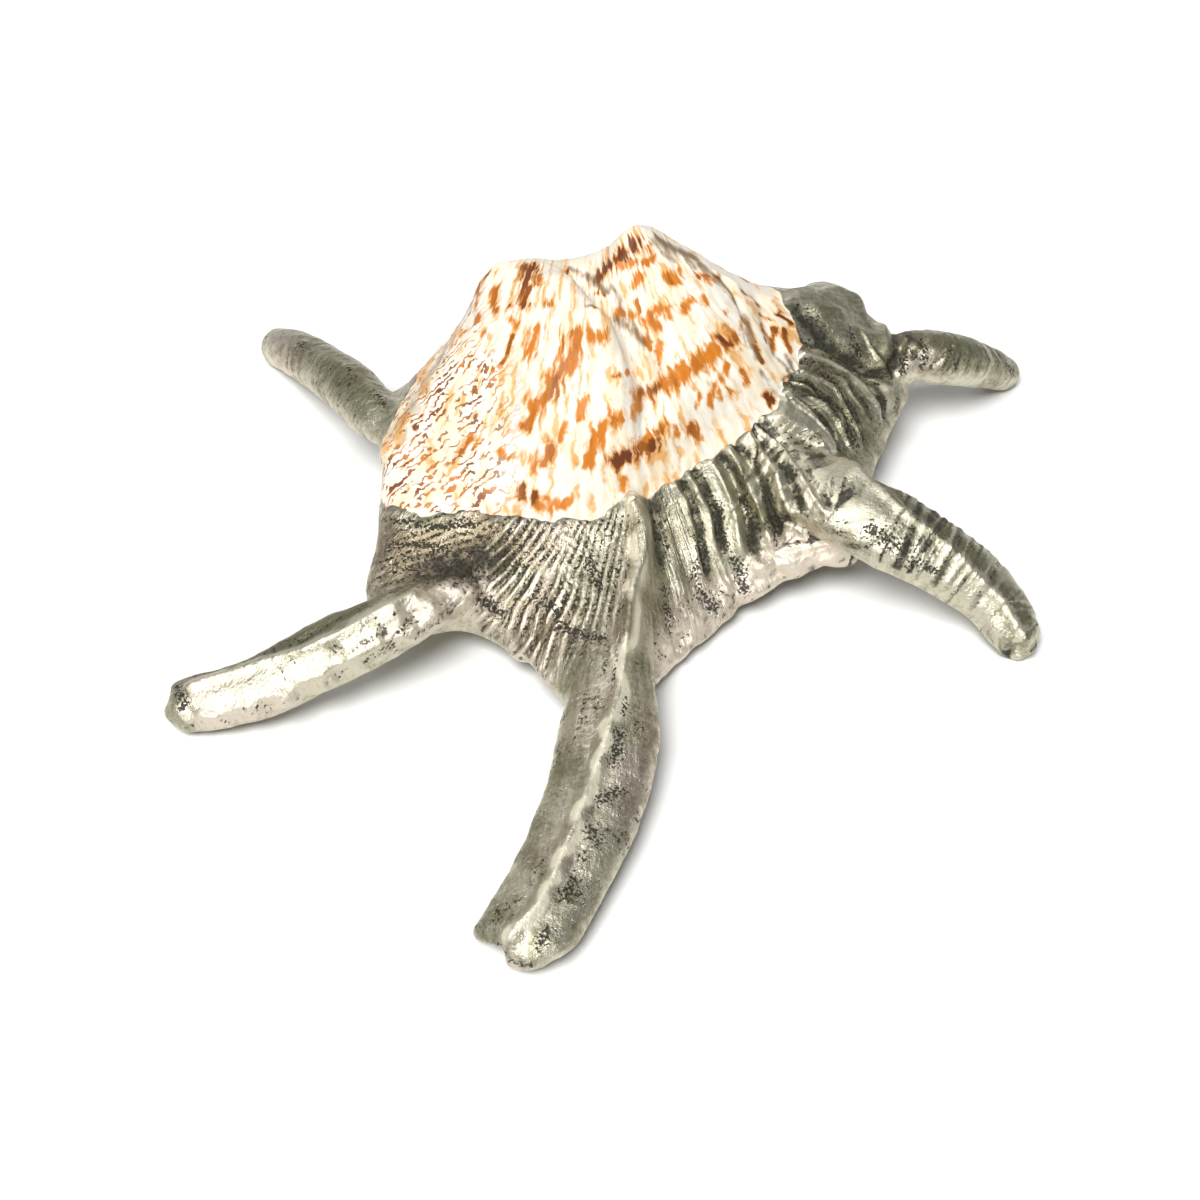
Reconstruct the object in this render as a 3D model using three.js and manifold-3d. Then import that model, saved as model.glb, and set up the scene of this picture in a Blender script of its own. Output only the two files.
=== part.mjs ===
// Spider conch shell, lying on its aperture and standing on the tips of its six digits.
// It is one grown piece: a knobbed crown, a low spire at its left end, a flared lip ribbed by
// spiral cords, five lip digits and the siphonal canal. Lip and digits are silver plated.
// Millimetres, +Z up, the floor at z = 0. The lip faces -Y and the canal end of the shell +X.
import * as THREE from "three";
import { LoftGeometry } from "three/addons/geometries/LoftGeometry.js";
import { mergeVertices } from "three/addons/utils/BufferGeometryUtils.js";
import Module from "manifold-3d";

const wasm = await Module();
wasm.setup();

// Driving dimensions
const CENTRE = new THREE.Vector2(2, 60); // the plan point that the lip's cords fan out from
const LIP_THICKNESS = 5;
const RIM_INSET = 2.5; // how far the lip's lower edge lies inside its outline
const BELLY_INSET = 8; // the same at the back, where the body whorl rounds under without a lip
const BELLY_FROM = 74; // the back of the lip and the front of that rounding, along Y
const BELLY_TO = 98;
const CORD_HEIGHT = 1.1; // half the rise of a spiral cord above the groove beside it
const CORD_SECTOR = [-124, 12.8]; // degrees about CENTRE over which the lip is ribbed
const CORD_COUNT = 18; // cords in that sector
const STRONG_FROM = -84; // degrees from which the cords are at their full height
const WEAK_SHARE = 0.35; // of the full height, left of the front digit
const PLAIN_STEP = 7; // degrees between columns on the smooth sides of the shell
const GROOVE_RADIUS = 2.2; // the open channel along the underside of each digit
const PLAN_MIDDLE = [5.5, 20.2]; // the middle of the finished outline, moved to x = y = 0
const FLOOR_BLOCK = 400; // a block below z = 0 that trims the digit tips to flat feet

// Level rings of the shell, each a closed curve seen from above and running anticlockwise
const RIM = [
  [76, 70, 14], [70, 52, 13], [69, 36, 16], [66, 22, 16], [52, 19, 13], [42, 16, 9], [33, 11, 6],
  [27, 4, 5], [20, -4, 5], [13, -14, 7], [2, -26, 10], [-11, -24, 9], [-18, -11, 9], [-24, -4, 9],
  [-32, 0, 10], [-40, -3, 12], [-53, -7, 14], [-57, 6, 17], [-54, 24, 19], [-54, 40, 22],
  [-57, 58, 22], [-57, 71, 20], [-47, 87, 14], [-32, 101, 10], [-14, 110, 9], [2, 114, 9],
  [22, 115, 9], [42, 115, 11], [58, 114, 14], [70, 107, 18], [78, 98, 20], [84, 85, 21],
].reverse();
const WAIST = [
  [52, 73, 38], [47, 59, 37], [39, 49, 35], [28, 39, 32], [15, 29, 30], [1, 19, 30], [-15, 17, 31],
  [-37, 18, 31], [-50, 24, 31], [-53, 40, 31], [-52, 56, 31], [-46, 76, 30], [-32, 94, 29],
  [-8, 106, 29], [20, 110, 30], [42, 105, 33], [52, 90, 38],
].reverse();
const SHOULDER = [
  [40, 70, 48], [35, 58, 48], [26, 48, 48], [16, 40, 48], [5, 33, 49], [-8, 30, 49], [-22, 31, 45],
  [-32, 45, 43], [-36, 60, 45], [-33, 76, 49], [-26, 88, 48], [-10, 97, 48], [10, 100, 49],
  [30, 96, 48], [40, 83, 48],
].reverse();
const CREST = [
  [27, 70, 58], [23, 61, 57], [14, 56, 57], [7, 53, 56], [0, 46, 58], [-9, 44, 59], [-19, 51, 58],
  [-26, 64, 57], [-28, 77, 57], [-15, 84, 59], [0, 87, 58], [13, 88, 62], [25, 82, 59],
].reverse();
const TOP = [0, 71, 60];

// The underside: a vault under the lip at the front and the low belly of the body whorl behind
const VAULT = [
  [52, 66, 18], [42, 40, 17], [20, 24, 15], [0, 10, 15], [-20, 18, 16], [-38, 22, 17],
  [-40, 48, 12], [-32, 76, 6], [0, 94, 4], [30, 96, 5], [52, 90, 11],
].reverse();
const BELLY = [
  [18, 62, 8], [2, 48, 9], [-16, 60, 8], [2, 76, 6],
].reverse();
const BOTTOM = [2, 60, 7];

// Knobs and hollows of the crown: place, height above or below the rings, and radius
const KNOBS = [
  { x: 9, y: 82, height: 8, radius: 9 },
  { x: -15, y: 70, height: 5, radius: 13 },
  { x: -5, y: 52, height: 4, radius: 11 },
  { x: -27, y: 79, height: 3, radius: 6 },
  { x: 61, y: 95, height: 11, radius: 12 },
  { x: 1, y: 66, height: -4, radius: 6 },
  { x: -5, y: 82, height: -5, radius: 8 },
  { x: 10, y: 51, height: -4, radius: 7 },
];

// Digits: centre line from the root under the lip to the tip, with half widths and half heights
const DIGITS = [
  {
    name: "left back",
    line: [[-34, 46, 25], [-55, 63, 22.5], [-67, 84, 17.5], [-82, 107.5, 9], [-92, 121, 2]],
    width: [5, 7.5, 5.2],
    height: [4, 7.2, 5.6],
  },
  {
    name: "left front",
    line: [[-25, 12, 19], [-43, -3, 19.5], [-61, -11, 15.5], [-80, -18, 9], [-103, -21.4, 3.6]],
    width: [5, 9, 7.2],
    height: [4, 7.4, 5.8],
  },
  {
    name: "front",
    line: [[9, 24, 27], [4, -8, 16], [1, -44, 9.5], [-6, -68, 7], [-19, -97, 4.6]],
    width: [4, 12, 10.5],
    height: [4, 7, 5.8],
  },
  {
    name: "right front",
    line: [[36, 44, 29], [59, 28, 25.5], [82, 18, 18], [96, 11, 10], [104.5, -1, 1.6]],
    width: [9, 12, 5.4],
    height: [4, 8, 5.2],
  },
  {
    name: "right back",
    line: [[54, 84, 22], [76, 87, 25.2], [92, 92, 20.5], [103, 99.5, 12], [113, 109, 0.6]],
    width: [8, 7.5, 4.4],
    height: [4, 7, 4.6],
  },
  {
    name: "canal",
    line: [[44, 80, 31], [58, 95, 31], [60.5, 110, 21], [63, 124, 10], [65.5, 138.2, 0.8]],
    width: [7, 10, 4.6],
    height: [6, 9, 4.8],
  },
];
const DIGIT_STATIONS = 17;
const DIGIT_SIDES = 16;
const TIP_SHARE = 0.07; // the last part of a digit, over which it rounds off

// Spire: whorls of falling radius along an axis that leaves the crown at its left end
const SPIRE = { base: [-18, 60, 35], apex: [-52.5, 37, 28.5], radius: 25, whorls: 4, shrink: 0.68, sides: 24 };

// One whorl from suture to suture: share of its height and share of its radius
const WHORL = [[0, 0.97], [0.12, 1], [0.5, 0.9], [0.88, 0.74]];

// Aperture: the slot between lip and columella, along the shell's axis
const APERTURE = {
  line: [[-40, 27, 19], [-17, 34, 20], [10, 45, 21], [36, 60, 22], [60, 76, 22]],
  width: [2, 9, 2], height: [3, 17, 3], sides: 14, stations: 12,
};

const vector = ([x, y, z]) => new THREE.Vector3(x, y, z);
const radians = THREE.MathUtils.degToRad;

// Triangles with three different corners: those that shrink to a line at a pole are left out
function wholeTriangles(corners) {
  const whole = [];
  for (let i = 0; i < corners.length; i += 3) {
    const [a, b, c] = corners.slice(i, i + 3);
    if (a !== b && b !== c && c !== a) whole.push(a, b, c);
  }
  return whole;
}

// A closed geometry as a solid that can be joined and cut
function solid(geometry) {
  const plain = new THREE.BufferGeometry();
  plain.setAttribute("position", geometry.getAttribute("position"));
  plain.setIndex(geometry.getIndex());
  const merged = mergeVertices(plain, 1e-4);
  return new wasm.Manifold(
    new wasm.Mesh({
      numProp: 3,
      vertProperties: merged.attributes.position.array,
      triVerts: new Uint32Array(wholeTriangles(merged.index.array)),
    }),
  );
}

function loft(sections, capped) {
  return solid(new LoftGeometry(sections, { capStart: capped, capEnd: capped }));
}

// Gives the point of a closed ring on the ray that leaves CENTRE at an angle
function ringSampler(points, samples = 720) {
  const curve = new THREE.CatmullRomCurve3(points.map(vector), true, "centripetal");
  const ring = curve.getPoints(samples);
  return (angle) => {
    const side = (p) => Math.cos(angle) * (p.y - CENTRE.y) - Math.sin(angle) * (p.x - CENTRE.x);
    const ahead = (p) => Math.cos(angle) * (p.x - CENTRE.x) + Math.sin(angle) * (p.y - CENTRE.y);
    for (let i = 0; i < samples; i++) {
      const [a, b] = [ring[i], ring[i + 1]];
      if (side(a) <= 0 && side(b) > 0 && ahead(a) > 0) {
        return a.clone().lerp(b, side(a) / (side(a) - side(b)));
      }
    }
    throw new Error("a ring doesn't pass round the centre");
  };
}

// Angles of the body's columns: on the ribbed lip one for each crest and each groove
function columnAngles() {
  const [first, last] = CORD_SECTOR;
  const ribbedStep = (last - first) / (2 * CORD_COUNT);
  const ribbed = Array.from({ length: 2 * CORD_COUNT }, (_, i) => first + i * ribbedStep);
  const plainCount = Math.round((360 - (last - first)) / PLAIN_STEP);
  const plainStep = (360 - (last - first)) / plainCount;
  const plain = Array.from({ length: plainCount }, (_, i) => last + i * plainStep);
  return [...ribbed, ...plain].map(radians);
}

// How far a spiral cord lifts the lip at a column: crests and grooves take turns
function cordLift(column, angle) {
  if (column >= 2 * CORD_COUNT) return 0;
  const height = angle < radians(STRONG_FROM) ? CORD_HEIGHT * WEAK_SHARE : CORD_HEIGHT;
  return column % 2 === 0 ? height : -height;
}

const knobLift = (p) =>
  KNOBS.reduce((sum, k) => {
    const distance = Math.hypot(p.x - k.x, p.y - k.y);
    return sum + k.height * Math.exp(-((distance / k.radius) ** 2));
  }, 0);

// Crown, lip and underside as one loft from the bottom of the vault to the top of the crown
function body() {
  const rim = ringSampler(RIM);
  const underRim = (angle) => {
    const p = rim(angle);
    const belly = THREE.MathUtils.smoothstep(p.y, BELLY_FROM, BELLY_TO);
    const inset = THREE.MathUtils.lerp(RIM_INSET, BELLY_INSET, belly);
    const inward = new THREE.Vector2(p.x, p.y).sub(CENTRE).setLength(inset);
    return new THREE.Vector3(p.x - inward.x, p.y - inward.y, p.z - LIP_THICKNESS * (0.7 + 0.4 * belly));
  };
  const rings = [
    { at: () => vector(BOTTOM), rows: 1 },
    { at: ringSampler(BELLY), rows: 2 },
    { at: ringSampler(VAULT), rows: 3 },
    { at: underRim, rows: 2 },
    { at: rim, rows: 6, ribbed: true },
    { at: ringSampler(WAIST), rows: 4, knobbed: true },
    { at: ringSampler(SHOULDER), rows: 3, knobbed: true },
    { at: ringSampler(CREST), rows: 3, knobbed: true },
    { at: () => vector(TOP), rows: 1, knobbed: true },
  ];
  const angles = columnAngles();
  const columns = angles.map((angle, index) => {
    const line = new THREE.CatmullRomCurve3(rings.map((ring) => ring.at(angle)), false, "centripetal");
    const column = [];
    rings.forEach((ring, i) => {
      for (let row = 0; row < ring.rows; row++) {
        const share = row / ring.rows;
        const p = line.getPoint((i + share) / (rings.length - 1));
        if (ring.ribbed) p.z += cordLift(index, angle) * Math.sin(Math.PI * (0.15 + 0.85 * share));
        if (ring.knobbed || ring.ribbed) p.z += knobLift(p) * (ring.knobbed ? 1 : share);
        column.push(p);
      }
    });
    return column;
  });
  return loft(columns[0].map((_, row) => columns.map((column) => column[row])), false);
}

// A tapering limb along a centre line, with a rounded end and an elliptical section
function limb({ line, width, height }, stations, sides, { lower = 0, tip = TIP_SHARE } = {}) {
  const curve = new THREE.CatmullRomCurve3(line.map(vector), false, "centripetal");
  const taper = ([root, middle, end], t) =>
    t < 0.5 ? THREE.MathUtils.lerp(root, middle, 2 * t) : THREE.MathUtils.lerp(middle, end, 2 * t - 1);
  const sections = [];
  for (let i = 0; i < stations; i++) {
    const t = 1 - (1 - i / (stations - 1)) ** 1.15;
    const along = curve.getTangentAt(t);
    const side = new THREE.Vector3(along.y, -along.x, 0).normalize();
    const up = new THREE.Vector3().crossVectors(side, along);
    const left = Math.max(0, t - (1 - tip)) / tip;
    const round = Math.sqrt(1 - 0.8 * left ** 2);
    const centre = curve.getPointAt(t).addScaledVector(up, -lower * taper(height, t));
    const section = [];
    for (let k = 0; k < sides; k++) {
      const a = (-2 * Math.PI * k) / sides;
      section.push(
        centre.clone()
          .addScaledVector(side, Math.cos(a) * taper(width, t) * round)
          .addScaledVector(up, Math.sin(a) * taper(height, t) * round),
      );
    }
    sections.push(section);
  }
  return loft(sections, true);
}

const digit = (d) => limb(d, DIGIT_STATIONS, DIGIT_SIDES);

// The open channel along the underside of a digit, which runs out through its tip
function digitGroove(d) {
  const [root, ...rest] = d.line.slice(1);
  const end = vector(d.line.at(-1));
  const beyond = end.clone().sub(vector(d.line.at(-2))).setLength(12).add(end).toArray();
  const drop = ([x, y, z], h) => [x, y, z - h];
  const depth = (share) => THREE.MathUtils.lerp(d.height[1], d.height[2], share);
  const line = [root, ...rest, beyond].map((p, i, all) => drop(p, depth(i / (all.length - 1))));
  const radius = [GROOVE_RADIUS, GROOVE_RADIUS, GROOVE_RADIUS];
  return limb({ line, width: radius, height: radius }, 8, 6, { tip: 0.01 });
}

// The spire's whorls: a stepped cone, each whorl swelling between two sutures
function spire() {
  const base = vector(SPIRE.base);
  const axis = vector(SPIRE.apex).sub(base);
  const profile = [new THREE.Vector2(0, 0)];
  let [radius, along] = [SPIRE.radius, 0];
  const shareSum = Array.from({ length: SPIRE.whorls }, (_, i) => SPIRE.shrink ** i).reduce((a, b) => a + b);
  for (let i = 0; i < SPIRE.whorls; i++) {
    const tall = (axis.length() * SPIRE.shrink ** i) / shareSum;
    for (const [share, width] of WHORL) {
      profile.push(new THREE.Vector2(radius * width, along + share * tall));
    }
    radius *= SPIRE.shrink;
    along += tall;
  }
  profile.push(new THREE.Vector2(radius * 0.5, along), new THREE.Vector2(0, along + 0.5));
  const geometry = new THREE.LatheGeometry(profile, SPIRE.sides);
  const upright = new THREE.Vector3(0, 1, 0);
  const turn = new THREE.Quaternion().setFromUnitVectors(upright, axis.clone().normalize());
  geometry.applyQuaternion(turn).translate(base.x, base.y, base.z);
  return solid(geometry);
}

const aperture = () => limb(APERTURE, APERTURE.stations, APERTURE.sides, { tip: 0.01 });

function floorBlock() {
  const block = new THREE.BoxGeometry(FLOOR_BLOCK, FLOOR_BLOCK, FLOOR_BLOCK);
  return solid(block.translate(0, 0, -FLOOR_BLOCK / 2));
}

function conchShell() {
  let shell = body().add(spire());
  for (const d of DIGITS) shell = shell.add(digit(d));
  shell = shell.subtract(aperture());
  for (const d of DIGITS) shell = shell.subtract(digitGroove(d));
  const { vertProperties, triVerts } = shell.subtract(floorBlock()).getMesh();
  const geometry = new THREE.BufferGeometry();
  geometry.setAttribute("position", new THREE.BufferAttribute(vertProperties, 3));
  geometry.setIndex(new THREE.BufferAttribute(triVerts, 1));
  geometry.translate(-PLAN_MIDDLE[0], -PLAN_MIDDLE[1], 0);
  geometry.computeVertexNormals();
  const silver = new THREE.MeshStandardMaterial({ color: 0xb9b6a6, roughness: 0.35, metalness: 1 });
  const mesh = new THREE.Mesh(geometry, silver);
  mesh.name = "conch_shell";
  return mesh;
}

const shell = new THREE.Group();
shell.add(conchShell());
export default shell;
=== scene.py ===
import bpy
from math import radians
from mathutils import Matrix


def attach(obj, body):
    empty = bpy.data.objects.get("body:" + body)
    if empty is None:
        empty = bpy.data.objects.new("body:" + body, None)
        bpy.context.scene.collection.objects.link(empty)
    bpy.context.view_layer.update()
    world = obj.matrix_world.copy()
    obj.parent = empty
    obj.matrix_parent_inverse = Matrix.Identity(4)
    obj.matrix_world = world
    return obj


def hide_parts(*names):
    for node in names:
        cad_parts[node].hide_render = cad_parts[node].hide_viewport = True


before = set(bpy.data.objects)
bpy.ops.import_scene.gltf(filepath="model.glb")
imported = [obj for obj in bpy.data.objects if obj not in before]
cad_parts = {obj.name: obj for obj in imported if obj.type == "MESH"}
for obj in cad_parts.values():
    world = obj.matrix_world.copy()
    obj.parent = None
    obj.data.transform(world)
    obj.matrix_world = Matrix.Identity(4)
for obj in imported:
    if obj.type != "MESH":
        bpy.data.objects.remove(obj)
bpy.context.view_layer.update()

EYE = (-0.0055, -0.4518, 0.4368)
TILT = radians(46)
SENSOR = 36
LENS = 75

bpy.ops.object.select_all(action="DESELECT")
bpy.ops.object.camera_add(location=EYE, rotation=(TILT, 0, 0))
camera = bpy.context.object
camera.name = "photo_camera"
camera.data.sensor_width = SENSOR
camera.data.lens = LENS
camera.data.clip_start = 0.01
bpy.context.scene.camera = camera

# Shell blank: the conch itself, one grown piece of shell with its knobbed crown, flared lip and
# six digits. The rough solid is skinned with an even mesh and rubbed smooth, as a cast is fettled.
import numpy as np

SKIN_STEP = 0.0006
RUB_PASSES = 60
LAST_RUB_PASSES = 15
RUB_SHARES = (0.6, -0.61)
FILL_PASSES = 90
FILL_SHARE = 0.9
ROOT_PASSES = 360
ROOT_SHARE = 0.7
ROOT_EDGE = 0.02
ROOTS = [((-36, -15, 23), 11), ((-30, -10, 24), 9), ((38, 20, 32), 8), ((47, 8, 27), 9),
         ((52, 14, 30), 7), ((37, 9, 27), 9), ((72, 66, 31), 6), ((-20, -38, 10), 9)]

shell_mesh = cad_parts["conch_shell"].data.copy()
shell_mesh.name = "plated_conch"
shell_mesh.materials.clear()
shell = bpy.data.objects.new("plated_conch", shell_mesh)
bpy.context.scene.collection.objects.link(shell)
bpy.context.view_layer.objects.active = shell
shell.select_set(True)
bpy.ops.object.mode_set(mode="EDIT")
bpy.ops.mesh.select_all(action="SELECT")
bpy.ops.mesh.remove_doubles(threshold=1e-6)
bpy.ops.object.mode_set(mode="OBJECT")
skin = shell.modifiers.new("skin", "REMESH")
skin.mode = "VOXEL"
skin.voxel_size = SKIN_STEP
skin.use_smooth_shade = True
bpy.ops.object.modifier_apply(modifier=skin.name)


def read_points():
    flat = np.empty(len(shell.data.vertices) * 3, np.float32)
    shell.data.vertices.foreach_get("co", flat)
    return flat.reshape(-1, 3).astype(np.float64) * 1000


def write_points(points):
    shell.data.vertices.foreach_set("co", (points / 1000).astype(np.float32).ravel())
    shell.data.update()


def read_normals():
    flat = np.empty(len(shell.data.vertices) * 3, np.float32)
    shell.data.vertex_normals.foreach_get("vector", flat)
    return flat.reshape(-1, 3).astype(np.float64)


def read_edges():
    ends = np.empty(len(shell.data.edges) * 2, np.int32)
    shell.data.edges.foreach_get("vertices", ends)
    return ends.reshape(-1, 2)


def pull_to_neighbours(points, ends):
    count = len(points)
    degree = np.bincount(ends.ravel(), minlength=count)[:, None]
    total = np.empty_like(points)
    for axis in range(3):
        column = points[:, axis]
        total[:, axis] = np.bincount(ends[:, 0], column[ends[:, 1]], count)
        total[:, axis] += np.bincount(ends[:, 1], column[ends[:, 0]], count)
    return total / degree - points


def rub_smooth(points, passes):
    ends = read_edges()
    for step in range(passes):
        for share in RUB_SHARES:
            points = points + share * pull_to_neighbours(points, ends)
    return points


def fill_creases(points, passes):
    ends = read_edges()
    outward = read_normals()
    for step in range(passes):
        lift = np.clip((pull_to_neighbours(points, ends) * outward).sum(1), 0, None)
        points = points + FILL_SHARE * lift[:, None] * outward
    return points


def blend_roots(points, passes):
    weight = np.zeros(len(points))
    for centre, radius in ROOTS:
        square = ((points - np.array(centre)) ** 2).sum(1)
        weight = np.maximum(weight, np.exp(-square / radius ** 2))
    near = weight > ROOT_EDGE
    ends = read_edges()
    ends = ends[near[ends].all(1)]
    used = np.unique(ends)
    where = np.full(len(points), -1)
    where[used] = np.arange(len(used))
    ends = where[ends]
    part = points[used]
    weight = weight[used, None]
    for step in range(passes):
        part = part + ROOT_SHARE * weight * pull_to_neighbours(part, ends)
    points = points.copy()
    points[used] = part
    return points


write_points(rub_smooth(read_points(), RUB_PASSES))
write_points(fill_creases(read_points(), FILL_PASSES))
write_points(blend_roots(read_points(), ROOT_PASSES))
write_points(rub_smooth(read_points(), LAST_RUB_PASSES))

# Carved lines: the keels, grooves, folds and dimples of the grown shell, with a half width and a height
# in millimetres, raised or sunk. In every line, a point of two numbers is a pixel on the photograph,
# which on_shell casts onto the blank, and one of three is a place in millimetres.
CARVED = [
    # the front digit's keel, and the hollow on its right below the crown
    (1.7, 1.9, [(630, 498), (641, 530), (639, 558), (631, 591), (626, 640), (619, 690), (605, 745),
                (585, 800), (575, 830), (553, 880), (540, 905), (512, 938)]),
    (2.2, 1.2, [(630, 498), (641, 530), (639, 558), (631, 591), (626, 640)]),
    (3, -1, [(655, 505), (662, 560)]),
    # the two edges of the left front digit's flat top, and its three dimples
    (1.3, 1.3, [(412, 597), (375, 615), (345, 633), (305, 650), (250, 668), (190, 688)]),
    (1.6, -0.7, [(362, 607), (301, 641), (244, 659), (182, 680)]),
    (1.3, 0.6, [(430, 618), (365, 650), (300, 685), (225, 712), (188, 718)]),
    (1.9, -0.9, [(410, 620)]),
    (1.9, -0.9, [(383, 633)]),
    (1.9, -0.8, [(337, 650)]),
    # the right front digit's back keel
    (1.6, 1.2, [(775, 420), (815, 445), (860, 480), (905, 515), (955, 555), (1000, 600), (1024, 638)]),
    (3.5, 2.2, [(781, 415), (805, 427), (823, 452), (851, 478)]),
    # the ridge on the right back digit and on the left back digit
    (1.2, 0.6, [(897, 345), (940, 352), (1000, 365)]),
    (1.4, 0.6, [(405, 405), (350, 370), (290, 348)]),
    # the left knob's rounded right edge, the groove beside it, the fold and the ridge by the peak
    (4.5, 2.6, [(-15, 47, 64), (-10, 38, 64), (-5, 30, 60), (-2, 23, 55), (-2, 16, 51)]),
    (3.2, -3.4, [(577, 270), (588, 282), (607, 314), (632, 340), (642, 365)]),
    (3.6, -2.6, [(5, 30, 52), (7, 22, 51), (7, 14, 46)]),
    (3, -1.4, [(761, 300), (770, 330), (776, 350)]),
    (1, -1, [(722, 278), (735, 292), (743, 308), (746, 325), (750, 345)]),
    (1.6, 1, [(640, 234), (700, 267), (735, 285)]),
    # the seam of an older whorl on the left slope
    (0.8, -0.6, [(483, 357), (473, 403), (457, 417)]),
    # the valley beside the hump over the canal, and the hump's crest
    (3, -1.5, [(800, 310), (827, 343), (860, 370)]),
    (2, 1, [(790, 300), (838, 286), (860, 297), (885, 328)]),
    # the left front digit's root sinks into the lip, and the crease where the right back digit leaves it
    (5, -1.4, [(430, 570), (470, 562), (500, 560)]),
    (2, 1, [(860, 297), (885, 328), (888, 350)]),
    (1.8, -2, [(894, 325), (897, 345), (893, 370)]),
    # the cracks across the right back digit
    (0.6, -0.9, [(908, 340), (889, 364)]),
    (0.5, -0.8, [(923, 343), (914, 357)]),
    (0.5, -0.7, [(952, 346), (931, 366)]),
    (0.6, 0.8, [(860, 333), (875, 356), (893, 378)]),
]
# Ribs: the bold growth ribs of the lip under the plating, each with a steep right flank: height, half
# width and line.
RIBS = [
    (1.1, 0.9, [(669, 477), (684, 502), (693, 535), (694, 550), (701, 585)]),
    (1.2, 0.9, [(682, 467), (694, 487), (707, 513), (712, 539), (718, 562)]),
    (1.6, 1.4, [(707, 460), (720, 478), (731, 502), (738, 530), (742, 562)]),
    (1.5, 1.2, [(726, 447), (740, 467), (755, 493), (762, 517), (775, 556)]),
    (1.5, 1.2, [(747, 434), (762, 456), (777, 475), (792, 510), (810, 552)]),
    (0.9, 0.8, [(755, 426), (781, 449), (797, 469), (814, 497), (832, 521)]),
    (1.2, 0.7, [(790, 402), (810, 420), (828, 445), (836, 456)]),
    (1.4, 0.7, [(785, 393), (806, 408), (823, 430), (831, 443)]),
    (1.5, 0.7, [(785, 385), (798, 395), (818, 406), (833, 422), (843, 437), (854, 460)]),
    (1.5, 0.7, [(792, 383), (806, 389), (820, 400), (837, 416), (850, 440)]),
    (1.4, 0.8, [(799, 374), (816, 381), (829, 387), (843, 408), (856, 433), (862, 450)]),
    (1.1, 0.7, [(797, 366), (818, 371), (840, 382), (857, 407), (868, 425)]),
    (1.3, 1, [(801, 356), (823, 362), (843, 372), (860, 385), (875, 405), (880, 425)]),
    (1.3, 1, [(800, 347), (823, 353), (846, 364), (868, 380), (893, 388)]),
]
# Chips knocked out of the digit tips: centre, radius and the way the metal is pushed in.
CHIPS = [
    ((-31, -107, 4), 4.0, (-2.4, -1.5, 0)),
    ((-14, -116, 3), 3.0, (-1.2, 1.2, 0)),
    ((96, -23, 4), 2.2, (0.6, 3.0, 0.5)),
    ((-109, -40, 6), 2.0, (2.5, 0.5, -0.5)),
    ((107, 84, 7), 2.0, (-2.0, -1.0, 0)),
]
# The front digit's end is broken off: left of this x, the end stops at the slanted plane y + z.
BREAK_X = -26.4
BREAK_PLANE = -107

from mathutils import Matrix, Vector, kdtree
from mathutils.bvhtree import BVHTree

PHOTO_SIZE = 1200
MIDDLE_DISTANCE = 0.6
NEAR_MISS_STEPS = 20
bpy.context.view_layer.update()
blank = BVHTree.FromObject(shell, bpy.context.evaluated_depsgraph_get())


def sight_line(pixel):
    aim = Vector((pixel[0] - PHOTO_SIZE / 2, PHOTO_SIZE / 2 - pixel[1], -PHOTO_SIZE * LENS / SENSOR))
    return (Matrix.Rotation(TILT, 3, "X") @ aim).normalized()


def on_shell(marked):
    eye = Vector(EYE)
    found = []
    for place in marked:
        if len(place) == 3:
            found.append(tuple(place))
            continue
        aim = sight_line(place)
        met = blank.ray_cast(eye, aim)[0]
        if met is None:
            met = eye + aim * MIDDLE_DISTANCE
            for step in range(NEAR_MISS_STEPS):
                met = blank.find_nearest(eye + aim * (met - eye).dot(aim))[0]
        found.append(tuple(met * 1000))
    return found


def line_points(corners, step=0.5):
    corners = np.array(corners, float)
    if len(corners) == 1:
        return corners
    out = [corners[:1]]
    for a, b in zip(corners[:-1], corners[1:]):
        count = max(2, int(np.linalg.norm(b - a) / step))
        out.append(a + (b - a) * np.linspace(0, 1, count + 1)[1:, None])
    path = np.concatenate(out)
    for repeat in range(int(3 / step)):
        path[1:-1] = (path[:-2] + 2 * path[1:-1] + path[2:]) / 4
    return path


def surface_finder(points):
    finder = kdtree.KDTree(len(points))
    for index, point in enumerate(points.tolist()):
        finder.insert(point, index)
    finder.balance()
    return finder


def near_line(points, corners, reach, finder):
    drawn = line_points(on_shell(corners), 4.0)
    path = line_points([finder.find(place)[0] for place in drawn.tolist()])
    heading = np.gradient(path, axis=0) if len(path) > 1 else np.ones((1, 3))
    low, high = path.min(0) - reach, path.max(0) + reach
    close = np.nonzero(((points > low) & (points < high)).all(1))[0]
    best = np.full(len(close), 1e9)
    which = np.zeros(len(close), int)
    for start in range(0, len(path), 16):
        square = ((points[close, None] - path[None, start:start + 16]) ** 2).sum(2)
        step = square.argmin(1)
        value = square[np.arange(len(close)), step]
        nearer = value < best
        best[nearer] = value[nearer]
        which[nearer] = start + step[nearer]
    off = points[close] - path[which]
    turn = heading[which, 0] * off[:, 1] - heading[which, 1] * off[:, 0]
    return close, np.sqrt(best), np.sign(turn), which / max(1, len(path) - 1)


# Plating edge: the silver covers the lip and the digits and stops in a line round the crown. Its front
# is given as pixels on the photograph; its back is hidden there and is given in millimetres.
BACK_FROM = 70
BACK_HEM = 26
FRONT_HEM = 9
EDGE_SEEN = [(381, 500), (385, 512), (430, 518), (450, 513), (510, 517), (540, 520), (580, 522), (605, 518),
             (612, 505), (650, 495), (660, 488), (690, 470), (715, 455), (740, 440), (760, 420), (775, 415),
             (785, 385), (800, 360), (803, 345), (795, 325), (780, 297)]
EDGE_HIDDEN = [(37, 84, 40), (30, 97, 34), (-6, 105, 30), (-40, 90, 30), (-50, 72, 30), (-54, 60, 30),
               (-52, 46, 30), (-58, 34, 28), (-63, 24, 25), (-63, 14, 24)]


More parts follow.
